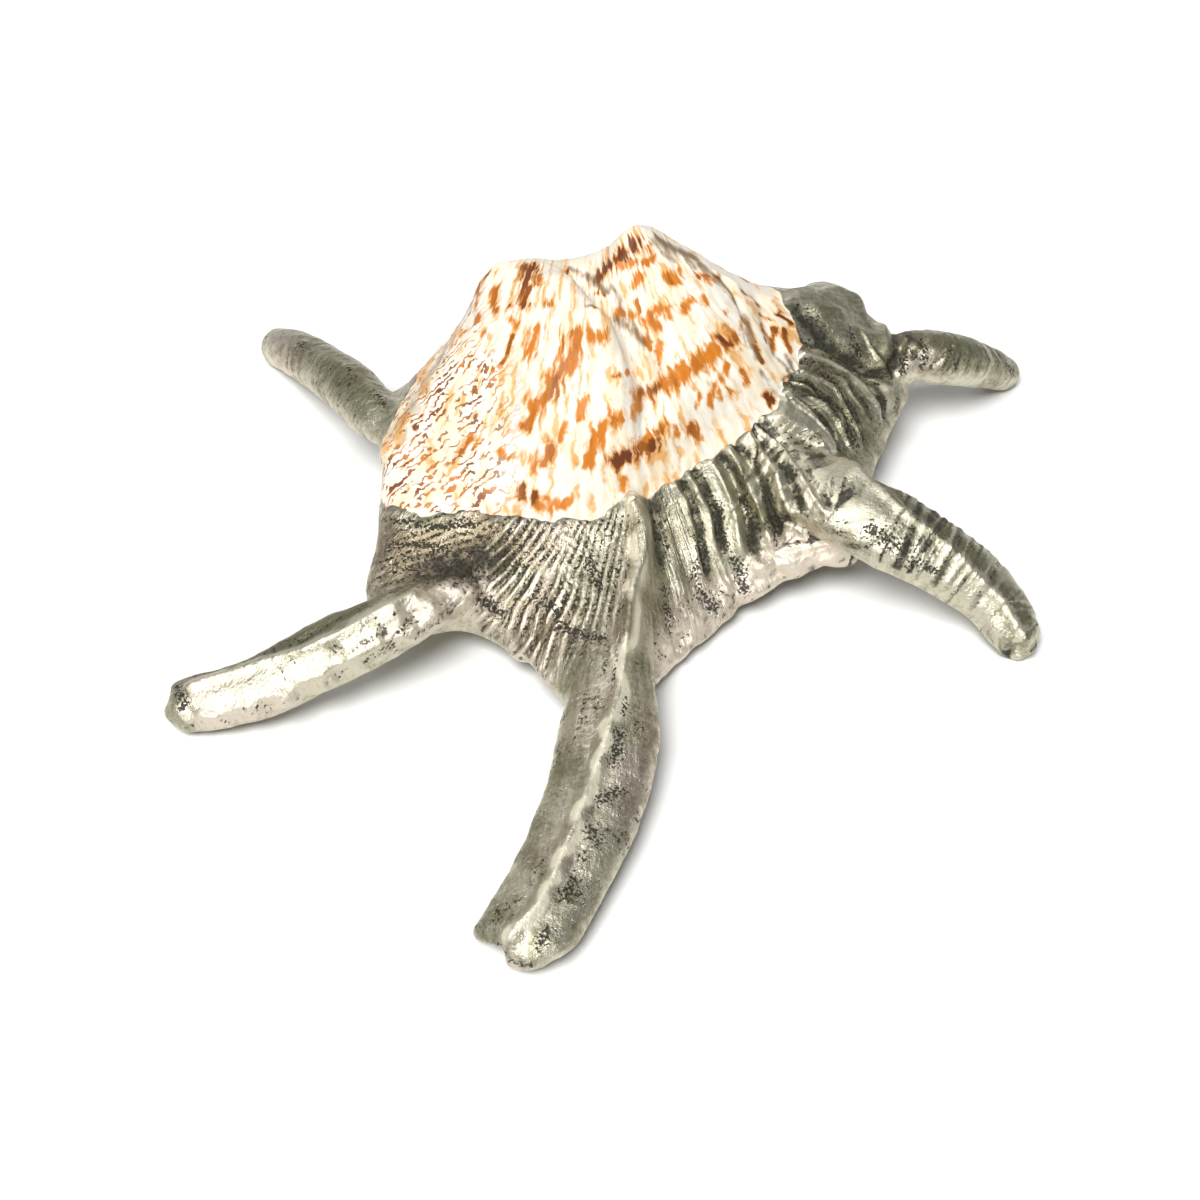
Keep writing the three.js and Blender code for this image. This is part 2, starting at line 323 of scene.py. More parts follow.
def plating_distance(points, normals):
    loop = np.array(on_shell(EDGE_SEEN + EDGE_HIDDEN))
    flat = points[:, :2]
    best = np.full(len(points), 1e9)
    level = np.zeros(len(points))
    inside = np.zeros(len(points), bool)
    for a, b in zip(loop, np.roll(loop, -1, 0)):
        along = b[:2] - a[:2]
        share = np.clip(((flat - a[:2]) @ along) / (along @ along), 0, 1)
        gap = np.linalg.norm(flat - a[:2] - share[:, None] * along, axis=1)
        nearer = gap < best
        best[nearer] = gap[nearer]
        level[nearer] = (a[2] + share * (b[2] - a[2]))[nearer]
        crosses = (a[1] > flat[:, 1]) != (b[1] > flat[:, 1])
        slope = (b[0] - a[0]) / (b[1] - a[1] + 1e-9)
        inside ^= crosses & (flat[:, 0] < a[0] + (flat[:, 1] - a[1]) * slope)
    signed = np.where(inside, -best, best)
    wall = np.clip((normals[:, 2] + 0.35) / 0.2, 0, 1)
    hem = np.where(points[:, 1] > BACK_FROM, BACK_HEM, FRONT_HEM)
    below = np.where(best < hem, level - points[:, 2] - 2.0, -9)
    return np.where(wall > 0.5, np.maximum(signed, below), signed)


# Sculpted relief: fine pitted cords fan out over the lip left of the front digit and sweep along the
# wall behind the left one, low flutes run down the bare crown, growth lines cross the digits, and the
# whole grown surface is gently uneven. Heights are in millimetres.
CORD_RISE = 0.5
FLUTE_RISE = 0.09
STROKE_RISE = 0.32
MOTTLE_RISE = 0.6
RIM_LOBE_RISE = 2.0
PLATING_RISE = 0.35
from mathutils import noise

FAN_CENTRE = np.array([-3.5, 39.8])
SLOPE_UP = np.array([0, 0.695, 0.719])
WEB_CENTRE = (5.6, 49.2)
WEB_PITCH = 2.6
FLUTE_PITCH = 0.036
LEFT_FRONT_DIGIT = [(-35, -12, 24), (-48.5, -22.2, 21), (-66.5, -31.2, 15.5),
                    (-85.5, -38.2, 9), (-108.5, -41.6, 3.6)]
SHOULDER = [(-30.5, -8.2), (-22, 0)]
RIGHT_FRONT_DIGIT = [(30.5, 23.8, 29), (53.5, 7.8, 25), (76.5, -2.2, 18), (90.5, -9.2, 10), (99, -21.2, 2)]
FRONT_DIGIT = on_shell(CARVED[0][2])
LEFT_BACK_DIGIT = [(-54, 31, 38), (-71, 61, 26), (-90, 83, 15)]
RIGHT_BACK_DIGIT = [(62, 64, 32), (72, 65, 29), (84, 67, 24), (102, 77, 12), (107, 83, 8)]
WALL_PITCH = 2.0
WALL_SWEEP = np.array([-0.33, 0.695, 0.719])
STREAK_APEX = (587, 114)
STREAK_POINT = np.array(EYE) * 1000
STREAK_AXIS = np.array(sight_line(STREAK_APEX))
STREAK_ACROSS = np.array([1, 0, 0]) - STREAK_AXIS[0] * STREAK_AXIS


def flat_gap(points, corners):
    path = line_points(corners, 1.0)[:, :2]
    gap = np.full(len(points), 1e9)
    for start in range(0, len(path), 8):
        part = path[start:start + 8]
        square = ((points[:, None, :2] - part[None]) ** 2).sum(2)
        gap = np.minimum(gap, square.min(1))
    return np.sqrt(gap)


def side_of(points, corners):
    path = np.array(corners, float)
    x_at = np.interp(points[:, 1], path[::-1, 1], path[::-1, 0])
    return points[:, 0] - x_at


def smooth_step(value, low, high):
    share = np.clip((value - low) / (high - low), 0, 1)
    return share * share * (3 - 2 * share)


def lumps(points, scale, offset):
    place = points / scale + offset
    return np.array([noise.noise(Vector(p)) for p in place.tolist()])


def sculpt_fields(points, normals):
    top = smooth_step(normals[:, 2], -0.25, 0.2)
    edge = plating_distance(points, normals)
    wobble = lumps(points, 5.0, 3.3)
    edge = edge + 1.0 * wobble + 0.5 * lumps(points, 1.9, 7.3)
    out = points[:, :2] - FAN_CENTRE
    angle = np.degrees(np.arctan2(out[:, 1], out[:, 0]))
    reach = np.linalg.norm(out, axis=1)
    left_gap = flat_gap(points, LEFT_FRONT_DIGIT)
    front_gap = flat_gap(points, FRONT_DIGIT)
    right_of_keel = side_of(points, FRONT_DIGIT)
    fine = left_gap / (left_gap + front_gap + 1e-6)
    fine_zone = smooth_step(right_of_keel, 0.5, -1.5) * smooth_step(angle, -148, -138)
    fine_zone *= smooth_step(angle, -40, -70) * smooth_step(points[:, 2], 4, 9)
    fine_zone *= smooth_step(fine, 0.05, 0.16) * smooth_step(reach, 112, 92)
    lean = np.degrees(np.arctan2(WEB_CENTRE[0] - points[:, 0], WEB_CENTRE[1] - points @ SLOPE_UP))
    fine_phase = lean / WEB_PITCH + 0.5 * lumps(points, 9.0, 2.2) + 0.12 * wobble
    shoulder = np.array([(x, y) for x, y, z in LEFT_FRONT_DIGIT[:0:-1]] + SHOULDER)
    behind = points[:, 1] - np.interp(points[:, 0], shoulder[:, 0], shoulder[:, 1])
    behind -= 20 * smooth_step(points[:, 0], -27, -23)
    wall = smooth_step(behind, 2.0, 5.0)
    wall *= smooth_step(points[:, 2], 9, 14) * smooth_step(points[:, 1], 34, 22)
    wall *= smooth_step(points[:, 0], -72, -64)
    sweep = points @ WALL_SWEEP / WALL_PITCH + 0.5 * lumps(points, 9.0, 6.4)
    fine_phase = np.where(behind > 3.5, sweep, fine_phase)
    fine_zone = np.maximum(fine_zone * smooth_step(behind, 5.0, 3.5), wall)
    silver = smooth_step(edge, -0.4, 0.5)
    from_axis = points - STREAK_POINT
    across = from_axis @ STREAK_ACROSS
    drop = np.abs(from_axis @ np.cross(STREAK_AXIS, STREAK_ACROSS))
    fan = np.arctan2(across, drop)
    return dict(fan=fan, fan_reach=np.hypot(across, drop), top=top, edge=edge, angle=angle,
                reach=reach, fine_zone=fine_zone * top, fine_phase=fine_phase, silver=silver,
                wall=wall)


# Rosy rims: the rolled edge of the lip and the left front digit's root, rough shell on which the thin
# plating looks faintly pink: half width and line.
ROSY = [
    (6, [(663, 660), (690, 632), (715, 607), (745, 587), (775, 570), (810, 560), (840, 556)]),
    (5, [(390, 628), (430, 615), (460, 600), (480, 575)]),
    (3.5, [(200, 722), (260, 708), (310, 690), (350, 670)]),
    (4, [(520, 660), (540, 690)]),
]


def rosy_rims(points, finder):
    rosy = np.zeros(len(points))
    for half_width, corners in ROSY:
        close, gap = near_line(points, corners, half_width * 2.5, finder)[:2]
        rosy[close] = np.maximum(rosy[close], np.exp(-(gap / half_width) ** 2))
    return rosy


# Rings: growth lines across each digit, left in relief under the plating: how strong they are, how far
# along the digit they begin, and the digit's line.
RINGED = [
    (0.3, 0.3, LEFT_FRONT_DIGIT), (0.35, 0.3, FRONT_DIGIT), (1.3, -0.15, RIGHT_FRONT_DIGIT),
    (0.5, 0.2, LEFT_BACK_DIGIT), (0.8, 0.1, RIGHT_BACK_DIGIT),
]


def digit_frame(points, finder):
    along = np.zeros(len(points))
    across = np.full(len(points), 30.0)
    ringed = np.zeros(len(points))
    for amount, clear, corners in RINGED:
        close, gap, side, share = near_line(points, corners, 26, finder)
        nearer = gap < across[close]
        index = close[nearer]
        across[index] = gap[nearer]
        along[index] = share[nearer] * np.linalg.norm(np.array(corners[-1]) - np.array(corners[0]))
        begun = smooth_step(share[nearer], clear, clear + 0.15)
        ringed[index] = amount * begun * smooth_step(gap[nearer], 22, 14)
    return along, across, ringed


def relief_height(points, field, finder):
    on_silver = (0.15 + 0.85 * field["silver"]) * field["top"]
    ridge = np.zeros(len(points))
    height = np.zeros(len(points))
    for rise, half_width, corners in RIBS:
        close, gap, side, share = near_line(points, corners, half_width * 6, finder)
        away = gap * side / half_width
        shape = np.exp(-away ** 2) - 0.95 * np.exp(-((away - 2.0) / 1.1) ** 2)
        shape += 0.35 * np.exp(-((away + 2.4) / 1.6) ** 2)
        shape *= smooth_step(share, 1.0, 0.85) * on_silver[close]
        shape *= smooth_step(gap, half_width * 6, half_width * 4)
        ridge[close] += shape
        height[close] += rise * shape
    cord = 0.7 * (0.5 + 0.5 * np.cos(2 * np.pi * field["fine_phase"])) ** 2 - 0.4
    between = 4 * np.pi * field["fine_phase"] + 3 * lumps(points, 7.0, 1.9)
    cord += 0.5 * (0.5 + 0.5 * np.cos(between)) ** 2
    cord *= (1 - 0.75 * field["wall"]) * field["fine_zone"]
    cord *= smooth_step(field["edge"], 46, 22) * on_silver
    cord *= 0.65 + 1.1 * lumps(points, 5.0, 4.4)
    ridge += 1.5 * cord
    height += CORD_RISE * cord
    flute = np.cos(2 * np.pi * field["fan"] / FLUTE_PITCH + 3 * lumps(points, 9.0, 8.2))
    height += FLUTE_RISE * flute * (1 - field["silver"]) * field["top"]
    along, across, ringed = digit_frame(points, finder)
    across_lines = np.stack([along / 0.9, across / 10, np.zeros(len(points))], 1)
    strokes = ringed * lumps(across_lines, 1.0, 2.7) * field["top"]
    height += STROKE_RISE * strokes
    ridge += strokes
    rosy = rosy_rims(points, finder)
    mottle = rosy * (0.5 * lumps(points, 2.6, 9.4) + 0.6 * lumps(points, 1.2, 1.4)) * field["top"]
    height += MOTTLE_RISE * mottle + RIM_LOBE_RISE * rosy * lumps(points, 4.8, 3.9)
    ridge += 0.9 * mottle
    for half_width, rise, corners in CARVED:
        close, gap = near_line(points, corners, half_width * 2.6, finder)[:2]
        shape = np.exp(-(gap / half_width) ** 2) * field["top"][close]
        height[close] += rise * shape
        ridge[close] += 0.5 * rise * shape * field["silver"][close]
    return height, np.clip(ridge, -1, 1)


def growth_height(points, field):
    uneven = 0.5 * lumps(points, 16.0, 0.7) + 0.22 * lumps(points, 4.0, 5.1)
    return uneven + PLATING_RISE * field["silver"] * field["top"]


points = read_points()
normals = read_normals()
field = sculpt_fields(points, normals)
finder = surface_finder(points)
height, ridge = relief_height(points, field, finder)
height += growth_height(points, field)
points = points + normals * height[:, None]
for centre, radius, push in CHIPS:
    nearness = np.exp(-((points - np.array(centre)) ** 2).sum(1) / radius ** 2)
    points = points + nearness[:, None] * np.array(push)
ragged = BREAK_PLANE + 0.9 * lumps(points, 1.6, 1.5) - points[:, 2]
broken_off = smooth_step(points[:, 0], BREAK_X + 0.9, BREAK_X - 0.9) * (points[:, 1] < ragged)
points[:, 1] += broken_off * (ragged - points[:, 1])
points[:, 2] = np.maximum(points[:, 2], 0)
write_points(points)

# Thinning: the smooth hidden underside of the shell carries few faces, so that the sculpted top can
# keep most of those that one piece may have.
UNDER_FACES = 24000
TOP_FACES = 168000
UNDER_TILT = -0.15

bpy.ops.object.mode_set(mode="EDIT")
bpy.ops.mesh.select_mode(type="FACE")
for wanted_top, faces in ((False, UNDER_FACES), (True, TOP_FACES)):
    bpy.ops.mesh.select_all(action="DESELECT")
    bpy.ops.object.mode_set(mode="OBJECT")
    flat = np.empty(len(shell.data.polygons) * 3, np.float32)
    shell.data.polygons.foreach_get("normal", flat)
    corners = np.empty(len(shell.data.polygons), np.int32)
    shell.data.polygons.foreach_get("loop_total", corners)
    chosen = (flat.reshape(-1, 3)[:, 2] > UNDER_TILT) == wanted_top
    shell.data.polygons.foreach_set("select", chosen)
    bpy.ops.object.mode_set(mode="EDIT")
    bpy.ops.mesh.decimate(ratio=min(1, faces / int((corners - 2)[chosen].sum())))
bpy.ops.mesh.select_all(action="SELECT")
bpy.ops.mesh.quads_convert_to_tris()
bpy.ops.object.mode_set(mode="OBJECT")
bpy.ops.object.shade_smooth()

# Crown markings: orange and brown blotches on the cream shell, drawn as strokes on its surface with a
# half width and a darkness, which the material then breaks up into streaks.
BLOTCHES = [
    (2, 0.9, [(530, 266), (527, 287), (523, 308)]),
    (1, 0.4, [(540, 276), (538, 286)]),
    (1.2, 0.6, [(495, 289), (495, 311)]),
    (1, 0.6, [(477, 284), (475, 307), (477, 321)]),
    (1.2, 0.8, [(487, 274)]),
    (1, 0.4, [(485, 335)]),
    (1, 0.4, [(512, 320), (515, 325)]),
    (1.7, 0.2, [(535, 332), (530, 350)]),
    (0.5, 0.7, [(512, 335), (507, 357), (493, 370)]),
    (2.2, 0.45, [(575, 335), (573, 355), (560, 373)]),
    (2.5, 0.55, [(557, 375), (547, 393), (535, 408)]),
    (1.5, 0.6, [(535, 408), (525, 427)]),
    (1.7, 0.4, [(593, 337), (602, 341)]),
    (1.2, 0.6, [(547, 305)]),
    (1, 0.4, [(570, 281)]),
    (0.7, 0.8, [(590, 317), (613, 323), (630, 340)]),
    (0.7, 0.8, [(572, 268), (588, 282), (600, 292)]),
    (2, 0.9, [(635, 244), (617, 260), (593, 274)]),
    (1.2, 0.7, [(703, 276), (710, 281)]),
    (1.2, 0.35, [(657, 307), (650, 323)]),
    (2, 0.5, [(737, 338), (712, 353)]),
    (2.2, 0.5, [(712, 353), (690, 370), (667, 383)]),
    (2, 0.65, [(667, 383), (650, 385), (638, 405)]),
    (2.2, 0.85, [(655, 440), (637, 450), (615, 458)]),
    (1.5, 0.45, [(662, 430), (648, 440)]),
    (1.2, 0.6, [(693, 423), (698, 441)]),
    (0.7, 0.4, [(677, 427), (680, 434)]),
    (0.7, 0.4, [(713, 388), (710, 402)]),
    (1.2, 0.3, [(617, 310), (632, 315)]),
    (1.2, 0.3, [(645, 321), (660, 327)]),
    (1.5, 0.35, [(598, 437), (590, 460)]),
    (1.7, 0.4, [(613, 417), (602, 430), (593, 443)]),
    (1.7, 0.5, [(552, 448), (540, 460)]),
    (1.5, 0.8, [(520, 490), (534, 500)]),
    (1.5, 0.5, [(534, 500), (548, 511)]),
    (1.2, 0.6, [(473, 437), (463, 451)]),
    (1, 0.3, [(560, 507), (566, 500)]),
    (1, 0.6, [(500, 452), (508, 458)]),
    (0.7, 0.6, [(612, 379), (622, 375)]),
    (1, 0.35, [(690, 300), (684, 312)]),
    (1, 0.3, [(660, 345), (655, 360)]),
    (1, 0.35, [(728, 365), (722, 380)]),
    (0.7, 0.35, [(700, 395), (696, 408)]),
    (1, 0.3, [(585, 400), (580, 415)]),
    (0.7, 0.35, [(565, 425), (560, 440)]),
    (1, 0.35, [(625, 480), (622, 490)]),
    (0.7, 0.4, [(640, 340), (650, 352)]),
    (1, 0.4, [(640, 275), (633, 288)]),
    (0.7, 0.4, [(655, 255), (648, 263)]),
    (1.2, 0.95, [(744, 292), (758, 299)]),
    (0.9, 0.85, [(698, 276), (718, 279)]),
    (0.7, 0.8, [(765, 312), (772, 318)]),
    (0.9, 0.7, [(764, 322), (768, 340)]),
    (0.8, 0.7, [(776, 325), (776, 345)]),
    (1, 0.8, [(780, 314), (791, 323)]),
    (0.8, 0.7, [(783, 330), (790, 350)]),
    (0.9, 0.6, [(756, 342), (760, 360)]),
    (1.2, 1, [(766, 394), (770, 403)]),
    (1.3, 0.35, [(668, 278), (678, 284), (677, 270)]),
    (0.9, 0.35, [(703, 298), (708, 304)]),
    (0.7, 0.1, [(727, 314)]),
    (1.1, 0.55, [(718, 338), (727, 346), (738, 341), (743, 326)]),
    (1, 0.4, [(744, 372), (747, 383)]),
    (0.6, 0.5, [(710, 395), (712, 405)]),
    (0.6, 0.5, [(728, 388), (731, 394)]),
    (0.8, 0.2, [(719, 392), (722, 398)]),
    (0.8, 0.3, [(668, 308), (671, 318)]),
    (0.9, 0.2, [(655, 322)]),
    (0.6, 0.7, [(635, 300), (640, 311)]),
    (0.8, 0.5, [(648, 246), (651, 252)]),
    (1, 0.3, [(618, 264), (622, 268)]),
    (0.8, 0.35, [(630, 262), (642, 262)]),
    # on the back, which the photograph doesn't show
    (1.6, 0.6, [(-22, 70, 56), (-23, 78, 50)]),
    (1.8, 0.5, [(-14, 76, 52), (-15, 84, 46), (-16, 91, 40)]),
    (1.4, 0.7, [(-2, 72, 58), (-2, 79, 54)]),
    (2, 0.55, [(2, 86, 48), (3, 95, 40)]),
    (1.6, 0.65, [(14, 76, 54), (17, 85, 47)]),
    (1.5, 0.5, [(-33, 72, 50), (-36, 79, 43)]),
    (1.4, 0.6, [(25, 72, 52), (28, 80, 45)]),
    (1.2, 0.45, [(-8, 95, 38), (-8, 100, 34)]),
    (1.3, 0.6, [(33, 74, 48), (35, 80, 43)]),
    (1.3, 0.5, [(-42, 68, 46), (-45, 73, 40)]),
]
# Veins and painted shade: grey-brown lines in the bare shell where the growth folds are, in the valley
# and along the right ridge, and painted shade in the same grey-brown: a soft band in the valley beside
# the left knob, the shadowed back of the ridge right of the peak and a band down the crown's left
# outline: half width, strength and line.
VEINS_AND_SHADE = [
    (0.6, 0.9, [(572, 266), (585, 274), (595, 283), (603, 292)]),
    # painted shade: a soft band in the valley beside the left knob
    (2.6, 0.35, [(-7, 49, 60), (-4, 44, 58), (0, 40, 57)]),
    (0.5, 0.8, [(586, 315), (600, 318), (612, 330), (622, 338)]),
    (0.6, 0.7, [(607, 314), (618, 330)]),
    (0.8, 0.75, [(616, 316), (628, 330), (638, 345)]),
    (1.6, 0.4, [(638, 345), (645, 365), (648, 382)]),
    (0.5, 0.7, [(612, 286), (617, 297), (625, 316), (632, 324)]),
    # painted shadow: the dark back of the ridge right of the peak
    (1.3, 1, [(657, 241), (668, 248), (682, 254), (692, 258)]),
    (0.5, 0.7, [(662, 252), (675, 262)]),
    (0.5, 0.7, [(684, 260), (696, 269)]),
    # painted shadow: behind the edge of the right knob
    (0.7, 0.9, [(700, 267), (728, 290), (742, 309), (749, 327), (757, 358)]),
    (0.5, 0.7, [(770, 330), (776, 350), (784, 365), (790, 375)]),
    (0.5, 0.8, [(786, 355), (795, 371)]),
    (0.5, 0.6, [(762, 372), (772, 388), (780, 398)]),
    # painted shade: a soft band down the crown's left outline
    (3, 0.45, [(-37, 57, 57), (-42, 55, 48), (-47, 45, 42), (-51, 31, 43), (-56, 20, 38)]),
]
# Soot and a painted shadow: black patina that the polishing left on the silver, in patches on the digits
# and between the ribs, and one painted shadow, the black mouth of the hollow front digit's broken end:
# half width and line.
SOOT_AND_HOLE_SHADE = [
    (1.6, [(617, 733), (615, 762)]),
    (1.5, [(600, 803), (607, 795), (622, 790)]),
    (1.7, [(592, 832), (597, 845)]),
    (1.3, [(583, 858)]),
    (1.6, [(575, 880), (565, 895)]),
    (1.2, [(580, 895)]),
    (1, [(625, 700), (622, 715)]),
    (1.2, [(548, 930), (540, 945)]),
    # painted shadow: the black mouth of the hollow at the front digit's broken end
    (0.9, [(505, 952), (512, 962), (530, 965)]),
    (0.8, [(487, 942), (500, 945)]),
    (1.8, [(870, 528), (905, 548)]),
    (1.4, [(915, 560), (935, 570)]),
    (1.3, [(718, 505), (724, 545)]),
    (1.3, [(745, 500), (752, 540)]),
    (1.6, [(693, 535), (695, 575)]),
    (1.8, [(700, 590), (715, 610)]),
    (1.2, [(770, 520), (775, 545)]),
    (1.5, [(735, 560), (745, 590)]),
    (1.5, [(664, 590), (668, 630)]),
    (1.5, [(560, 625), (600, 640)]),
    (1.2, [(540, 600), (560, 615)]),
    (1.2, [(590, 560), (600, 590)]),
    (1.5, [(480, 600), (500, 612)]),
    (0.8, [(385, 520), (430, 527), (470, 522)]),
    (0.7, [(390, 545), (440, 548)]),
    (1.4, [(799, 374), (823, 403), (832, 420)]),
    (1.4, [(812, 365), (838, 392), (850, 415)]),
    (1.6, [(850, 330), (858, 355)]),
    (1.6, [(845, 425), (855, 445)]),
    (1, [(905, 350), (903, 372)]),
    (0.9, [(925, 347), (922, 368)]),
    (0.9, [(950, 350), (955, 368)]),
    (1.4, [(1005, 365), (1012, 372)]),
    (1.3, [(375, 395), (385, 405)]),
    (1, [(350, 370), (356, 380)]),
    (1, [(300, 345), (310, 352)]),
    (1.3, [(178, 688), (185, 705)]),
]

# Painted light and shade on the silver: positive amounts paint highlights where light falls, on the
# keels and flat tops of the digits and on the lip's rim; negative amounts paint shade on the back faces of
# the digits, the hump, the ribs beside it and the wall under the crown: half width, amount and line.
PAINTED_LIGHT_AND_SHADE = [
    (5, 0.6, [(775, 425), (800, 450), (825, 482), (855, 512), (890, 535), (930, 565), (965, 595),
              (992, 630)]),
    (4.5, 0.9, [(200, 705), (250, 690), (310, 668), (360, 645), (410, 620), (460, 600)]),
    (1.6, 2.3, FRONT_DIGIT),
    (2.5, 0.8, [(897, 376), (930, 379), (970, 380), (1005, 376)]),
    (5, 0.5, ROSY[0][1]),
    (5, -1.1, [(905, 335), (940, 345), (980, 358), (1005, 368)]),
    (9, -0.5, [(820, 310), (840, 320), (860, 310)]),
    (5, -0.9, [(290, 345), (320, 355), (350, 380), (375, 405)]),
    (9, -1.2, [(815, 395), (835, 405), (850, 420)]),
    (8, -1.1, [(380, 540), (400, 560), (430, 540), (460, 560), (486, 540)]),
    (8, -0.9, [(17, 5, 22), (26, 8, 23), (34, 10, 25)]),
    (3.5, 1, [(772, 428), (790, 448), (812, 478), (840, 505), (870, 522)]),
    (4, -1.6, [(800, 425), (822, 444), (848, 470), (890, 502), (938, 532), (982, 568), (1008, 605),
               (1025, 640)]),
    (9, -0.45, [(-20, -10, 24), (-15, -20, 20), (-13, -30, 17)]),
    (2.6, -2.4, [(-106, -34, 9), (-97, -33, 11.4), (-90, -31.5, 13), (-76, -31, 19), (-67, -28, 22),
                 (-60, -23, 23.5)]),
]
points = read_points()
normals = read_normals()
field = sculpt_fields(points, normals)
finder = surface_finder(points)
ridge = relief_height(points, field, finder)[1]
soot_and_hole_shade = np.zeros(len(points))
for half_width, corners in SOOT_AND_HOLE_SHADE:
    close, gap = near_line(points, corners, half_width * 2.5, finder)[:2]
    strength = np.clip((half_width * 2.2 - gap) / (half_width * 2.2), 0, 1)
    soot_and_hole_shade[close] = np.maximum(soot_and_hole_shade[close], strength)
blotch = np.zeros(len(points))
darkness = np.zeros(len(points))
for half_width, dark, corners in BLOTCHES:
    close, gap = near_line(points, corners, half_width * 3, finder)[:2]
    strength = np.clip(1 - gap / (half_width * 2.5), 0, 1)
    stronger = strength > blotch[close]
    darkness[close[stronger]] = dark
    blotch[close] = np.maximum(blotch[close], strength)
veins_and_shade = np.zeros(len(points))
for half_width, strength, corners in VEINS_AND_SHADE:
    close, gap = near_line(points, corners, half_width * 3, finder)[:2]
    veins_and_shade[close] = np.maximum(veins_and_shade[close], strength * np.exp(-(gap / half_width) ** 2 / 4))
rosy = rosy_rims(points, finder)
# painted light and shade, summed from the strokes above
painted_light_and_shade = np.zeros(len(points))
for half_width, amount, corners in PAINTED_LIGHT_AND_SHADE:
    close, gap = near_line(points, corners, half_width * 2.5, finder)[:2]
    painted_light_and_shade[close] += amount * np.exp(-(gap / half_width) ** 2)
along, across_digit, ringed = digit_frame(points, finder)
fleck = smooth_step(points[:, 0], -20, -34) * smooth_step(points[:, 2], 60, 52)


def keep(name, values):
    values = np.asarray(values, np.float32)
    kind = "FLOAT_VECTOR" if values.ndim == 2 else "FLOAT"
    layer = shell.data.attributes.new(name, kind, "POINT")
    layer.data.foreach_set("vector" if values.ndim == 2 else "value", values.ravel())


level = np.zeros(len(points))
keep("plating", field["edge"])
keep("marks", np.stack([blotch, darkness, fleck], 1))
keep("streak", np.stack([field["fan"] * 100, field["fan_reach"] / 10, level], 1))
keep("cords", np.stack([field["fine_phase"], field["reach"], field["fine_zone"]], 1))
keep("growth", np.stack([field["angle"], field["reach"], level], 1))
keep("digit", np.stack([along, across_digit, ringed], 1))
keep("ridge", ridge)
keep("rosy", rosy)
keep("painted_light_and_shade", painted_light_and_shade)
keep("soot_and_hole_shade", soot_and_hole_shade)
keep("veins_and_shade", veins_and_shade)

# Finish: one surface, antique silver plate with dark patina outside the plating edge and bare glossy
# shell inside it. The strokes above reach it as attributes of the mesh.
plated = bpy.data.materials.new("antique_silver_on_shell")
plated.use_nodes = True
tree = plated.node_tree
tree.nodes.clear()


def node(kind, *values, **settings):
    made = tree.nodes.new("ShaderNode" + kind)
    for name, value in settings.items():
        setattr(made, name, value)
    for index, value in enumerate(values):
        if isinstance(value, bpy.types.NodeSocket):
            tree.links.new(value, made.inputs[index])
        elif value is not None:
            made.inputs[index].default_value = value
    return made


def maths(operation, *values, clamp=False):
    return node("Math", *values, operation=operation, use_clamp=clamp).outputs[0]


def ramp(value, low, high, out_low=0.0, out_high=1.0):
    made = node("MapRange", value, low, high, out_low, out_high, interpolation_type="SMOOTHSTEP")
    return made.outputs[0]


def blend(share, first, second):
    made = tree.nodes.new("ShaderNodeMix")
    made.data_type = "RGBA"
    for index, value in ((0, share), (6, first), (7, second)):
        if isinstance(value, bpy.types.NodeSocket):
            tree.links.new(value, made.inputs[index])
        else:
            made.inputs[index].default_value = value
    return made.outputs[2]


def speckle(place, scale, detail=2.0, roughness=0.5):
    made = node("TexNoise", noise_dimensions="3D")
    tree.links.new(place, made.inputs["Vector"])
    made.inputs["Scale"].default_value = scale
    made.inputs["Detail"].default_value = detail
    made.inputs["Roughness"].default_value = roughness
    return made.outputs[0]


def stretched(place, scale):
    made = node("Mapping")
    tree.links.new(place, made.inputs["Vector"])
    made.inputs["Scale"].default_value = scale
    return made.outputs[0]


spot = node("TexCoord").outputs["Object"]
edge = node("Attribute", attribute_name="plating").outputs["Fac"]
marks = node("SeparateXYZ", node("Attribute", attribute_name="marks").outputs["Vector"]).outputs
streak = node("Attribute", attribute_name="streak").outputs["Vector"]
cords = node("Attribute", attribute_name="cords").outputs["Vector"]
cord_parts = node("SeparateXYZ", cords).outputs
ridge = node("Attribute", attribute_name="ridge").outputs["Fac"]
rosy = node("Attribute", attribute_name="rosy").outputs["Fac"]
painted_light_and_shade = node("Attribute", attribute_name="painted_light_and_shade").outputs["Fac"]
digit = node("Attribute", attribute_name="digit").outputs["Vector"]
ringed = node("SeparateXYZ", digit).outputs[2]
veins_and_shade = node("Attribute", attribute_name="veins_and_shade").outputs["Fac"]

CREAM = (0.87, 0.76, 0.56, 1)
IVORY = (0.92, 0.86, 0.75, 1)
APRICOT = (0.76, 0.37, 0.09, 1)
ORANGE = (0.64, 0.205, 0.022, 1)
BROWN = (0.15, 0.042, 0.012, 1)
PEACH = (0.87, 0.55, 0.26, 1)
VEIN_AND_SHADE_BROWN = (0.19, 0.105, 0.04, 1)
TAN = (0.58, 0.22, 0.05, 1)
RUST = (0.24, 0.075, 0.025, 1)
sway = node("TexNoise", noise_dimensions="3D")
tree.links.new(spot, sway.inputs["Vector"])
sway.inputs["Scale"].default_value = 260
sway.inputs["Detail"].default_value = 2
sway_part = node("VectorMath", sway.outputs["Color"], (0.5, 0.5, 0.5), operation="SUBTRACT").outputs[0]
sway_part = node("VectorMath", sway_part, (3.5, 0.5, 0.0), operation="MULTIPLY").outputs[0]
warped = node("VectorMath", streak, sway_part, operation="ADD").outputs[0]
torn_streak = speckle(stretched(warped, (0.5, 1.9, 1)), 1.0, 3)
dash_streak = speckle(stretched(warped, (0.36, 1.5, 1)), 1.0, 2)
broad_streak = speckle(stretched(warped, (0.15, 0.5, 1)), 1.0, 2)
